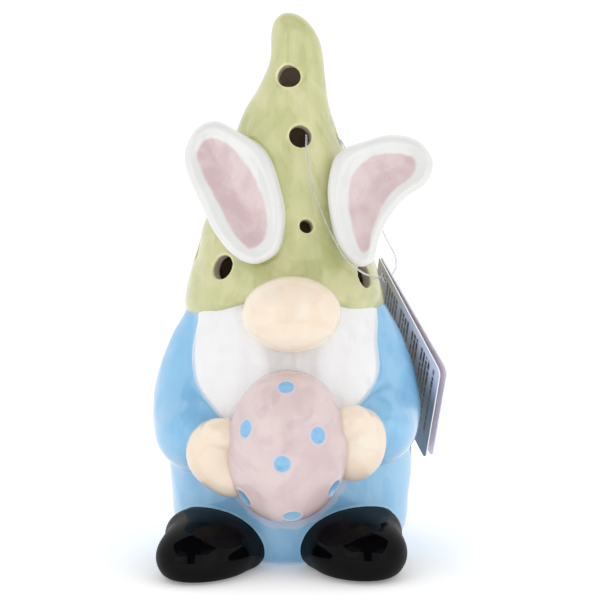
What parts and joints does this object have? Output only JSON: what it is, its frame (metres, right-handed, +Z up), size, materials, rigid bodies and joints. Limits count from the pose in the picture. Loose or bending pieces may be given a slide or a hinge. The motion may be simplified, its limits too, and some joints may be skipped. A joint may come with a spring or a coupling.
{
  "type": "garden gnome",
  "caption": "Hollow glazed ceramic gnome with rabbit ears holding an egg, lit through holes in its hat by a battery light unit in its base, with a folded hang tag.",
  "frame": {"origin": "middle of the ceramic figure's footprint box, on the surface it stands on", "axes": "+Z up along the body and hat; -Y is the front, with the nose, egg and shoes; +X is the viewer's right"},
  "size_m": [0.1091, 0.1231, 0.2],
  "materials": {
    "glaze_blue": "clear gloss glaze over mottled sky-blue brushed colour",
    "glaze_green": "clear gloss glaze over mottled pale olive brushed colour",
    "glaze_white": "gloss white glaze",
    "glaze_flesh": "clear gloss glaze over mottled peach colour",
    "glaze_pink": "clear gloss glaze over mottled dusty pink colour",
    "glaze_black": "deep gloss black glaze",
    "plastic_white": "moulded ABS",
    "plastic_black": "moulded ABS",
    "diffuser": "frosted translucent",
    "lamp_epoxy": "clear epoxy lens",
    "board": "green solder mask",
    "steel": "nickel plated",
    "silicone": "translucent silicone",
    "thread": "clear nylon",
    "card": "gloss coated card, printed"
  },
  "bodies": {
    "figure": {"torso_shell": "glaze_blue", "sleeve_left": "glaze_blue", "sleeve_right": "glaze_blue", "hat_shell": "glaze_green", "beard": "glaze_white", "ear_left": "glaze_white", "ear_right": "glaze_white", "nose": "glaze_flesh", "hand_left": "glaze_flesh", "hand_right": "glaze_flesh", "egg": "glaze_pink", "shoe_left": "glaze_black", "shoe_right": "glaze_black", "unit_base": "plastic_white", "light_housing": "plastic_white", "light_cap": "diffuser", "led_lamp": "lamp_epoxy", "circuit_board": "board", "switch_body": "steel", "battery_1": "steel", "battery_2": "steel", "battery_3": "steel", "contact_spring": "steel", "contact_plate": "steel", "sealing_ring": "silicone", "tag_loop": "thread", "tag_lock": "thread"},
    "switch_slider": {"switch_slider": "plastic_black"},
    "battery_door": {"battery_door": "plastic_white"},
    "door_screw": {"door_screw": "steel"},
    "tag_leaf": {"tag_leaf": "card"},
    "tag_cover": {"tag_cover": "card"}
  },
  "joints": [
    {"name": "switch_slide", "type": "slide", "parent": "figure", "child": "switch_slider", "axis": [1, 0, 0], "range_m": [0, 0.003]},
    {"name": "battery_door_lift", "type": "slide", "parent": "figure", "child": "battery_door", "axis": [0, 0, -1], "range_m": [0, 0.015]},
    {"name": "door_screw_turn", "type": "hinge", "parent": "battery_door", "child": "door_screw", "pos_m": [0.0136, 0.013, 0.004], "axis": [0, 0, 1], "continuous": true},
    {"name": "tag_swing", "type": "hinge", "parent": "figure", "child": "tag_leaf", "pos_m": [0.03576, 0.03054, 0.10008], "axis": [0.9278, 0.2948, 0.2286], "range_deg": [-20, 20]},
    {"name": "tag_open", "type": "hinge", "parent": "tag_leaf", "child": "tag_cover", "pos_m": [0.03256, 0.05034, 0.08754], "axis": [0.0508, -0.707, 0.7054], "range_deg": [-1.5, 25]}
  ]
}
